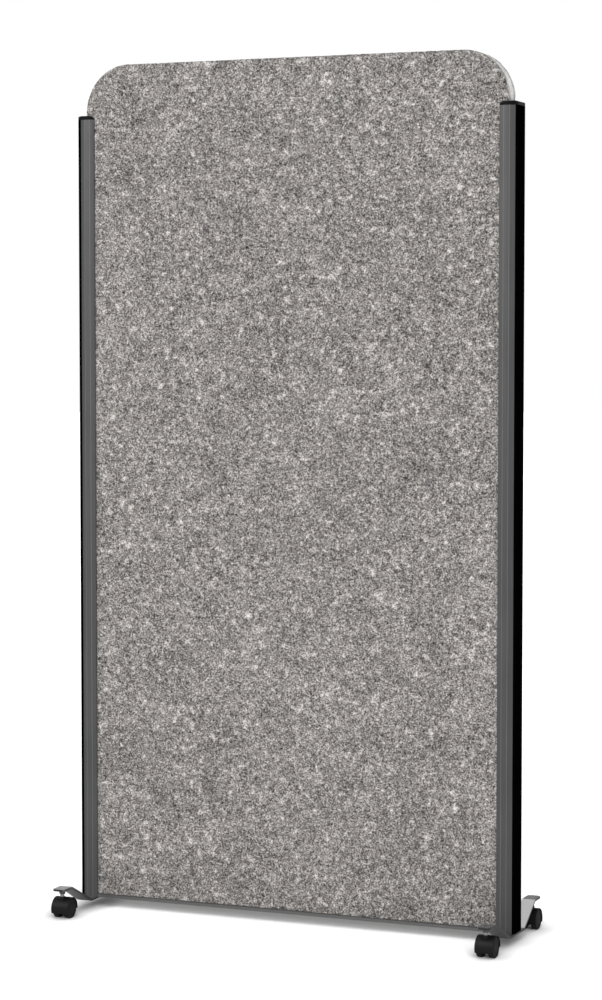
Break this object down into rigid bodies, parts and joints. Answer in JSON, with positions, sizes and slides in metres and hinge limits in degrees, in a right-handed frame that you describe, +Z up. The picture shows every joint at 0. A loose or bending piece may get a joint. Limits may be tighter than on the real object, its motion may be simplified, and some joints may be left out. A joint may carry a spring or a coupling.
{
  "type": "room divider on wheels",
  "caption": "Free-standing felt room divider: rounded grey felt sandwich panel between fluted side profiles with linking strips, on bent feet with swivelling twin-wheel casters.",
  "frame": {"origin": "on the floor, under the middle of the panel, midway between the four casters", "axes": "+Z up, +X to the right along the panel's width, the front face looks along -Y"},
  "size_m": [1.004, 0.34, 1.8385],
  "materials": {
    "felt": "matte",
    "core": "matte",
    "profile": "satin",
    "strip": "matte",
    "cap": "matte",
    "foot": "satin",
    "screw": "satin",
    "chrome": "polished",
    "caster": "satin",
    "wheel": "matte"
  },
  "bodies": {
    "frame": {"front_felt": "felt", "core_board": "core", "back_felt": "felt", "left_side_profile": "profile", "right_side_profile": "profile", "left_link_strip": "strip", "right_link_strip": "strip", "left_top_cap": "cap", "right_top_cap": "cap", "bottom_rail": "profile", "rail_screws": "screw", "left_foot": "foot", "right_foot": "foot", "foot_screws": "screw", "stem_lock_nuts": "chrome", "front_left_caster_stem": "chrome", "front_left_caster_retaining_ring": "screw", "front_right_caster_stem": "chrome", "front_right_caster_retaining_ring": "screw", "back_left_caster_stem": "chrome", "back_left_caster_retaining_ring": "screw", "back_right_caster_stem": "chrome", "back_right_caster_retaining_ring": "screw"},
    "front_left_swivel": {"front_left_caster_hood": "caster", "front_left_caster_axle": "screw"},
    "front_left_outer_wheel_body": {"front_left_caster_outer_wheel": "wheel"},
    "front_left_inner_wheel_body": {"front_left_caster_inner_wheel": "wheel"},
    "front_right_swivel": {"front_right_caster_hood": "caster", "front_right_caster_axle": "screw"},
    "front_right_outer_wheel_body": {"front_right_caster_outer_wheel": "wheel"},
    "front_right_inner_wheel_body": {"front_right_caster_inner_wheel": "wheel"},
    "back_left_swivel": {"back_left_caster_hood": "caster", "back_left_caster_axle": "screw"},
    "back_left_outer_wheel_body": {"back_left_caster_outer_wheel": "wheel"},
    "back_left_inner_wheel_body": {"back_left_caster_inner_wheel": "wheel"},
    "back_right_swivel": {"back_right_caster_hood": "caster", "back_right_caster_axle": "screw"},
    "back_right_outer_wheel_body": {"back_right_caster_outer_wheel": "wheel"},
    "back_right_inner_wheel_body": {"back_right_caster_inner_wheel": "wheel"}
  },
  "joints": [
    {"name": "front_left_caster_swivel", "type": "hinge", "parent": "frame", "child": "front_left_swivel", "pos_m": [-0.482, -0.1505, 0.0465], "axis": [0, 0, 1], "continuous": true},
    {"name": "front_left_outer_wheel_roll", "type": "hinge", "parent": "front_left_swivel", "child": "front_left_outer_wheel_body", "pos_m": [-0.49515, -0.1415, 0.021], "axis": [1, 0, 0], "continuous": true},
    {"name": "front_left_inner_wheel_roll", "type": "hinge", "parent": "front_left_swivel", "child": "front_left_inner_wheel_body", "pos_m": [-0.46885, -0.1415, 0.021], "axis": [1, 0, 0], "continuous": true},
    {"name": "front_right_caster_swivel", "type": "hinge", "parent": "frame", "child": "front_right_swivel", "pos_m": [0.482, -0.1505, 0.0465], "axis": [0, 0, 1], "continuous": true},
    {"name": "front_right_outer_wheel_roll", "type": "hinge", "parent": "front_right_swivel", "child": "front_right_outer_wheel_body", "pos_m": [0.49515, -0.1415, 0.021], "axis": [1, 0, 0], "continuous": true},
    {"name": "front_right_inner_wheel_roll", "type": "hinge", "parent": "front_right_swivel", "child": "front_right_inner_wheel_body", "pos_m": [0.46885, -0.1415, 0.021], "axis": [1, 0, 0], "continuous": true},
    {"name": "back_left_caster_swivel", "type": "hinge", "parent": "frame", "child": "back_left_swivel", "pos_m": [-0.482, 0.1505, 0.0465], "axis": [0, 0, 1], "continuous": true},
    {"name": "back_left_outer_wheel_roll", "type": "hinge", "parent": "back_left_swivel", "child": "back_left_outer_wheel_body", "pos_m": [-0.49515, 0.1415, 0.021], "axis": [1, 0, 0], "continuous": true},
    {"name": "back_left_inner_wheel_roll", "type": "hinge", "parent": "back_left_swivel", "child": "back_left_inner_wheel_body", "pos_m": [-0.46885, 0.1415, 0.021], "axis": [1, 0, 0], "continuous": true},
    {"name": "back_right_caster_swivel", "type": "hinge", "parent": "frame", "child": "back_right_swivel", "pos_m": [0.482, 0.1505, 0.0465], "axis": [0, 0, 1], "continuous": true},
    {"name": "back_right_outer_wheel_roll", "type": "hinge", "parent": "back_right_swivel", "child": "back_right_outer_wheel_body", "pos_m": [0.49515, 0.1415, 0.021], "axis": [1, 0, 0], "continuous": true},
    {"name": "back_right_inner_wheel_roll", "type": "hinge", "parent": "back_right_swivel", "child": "back_right_inner_wheel_body", "pos_m": [0.46885, 0.1415, 0.021], "axis": [1, 0, 0], "continuous": true}
  ]
}
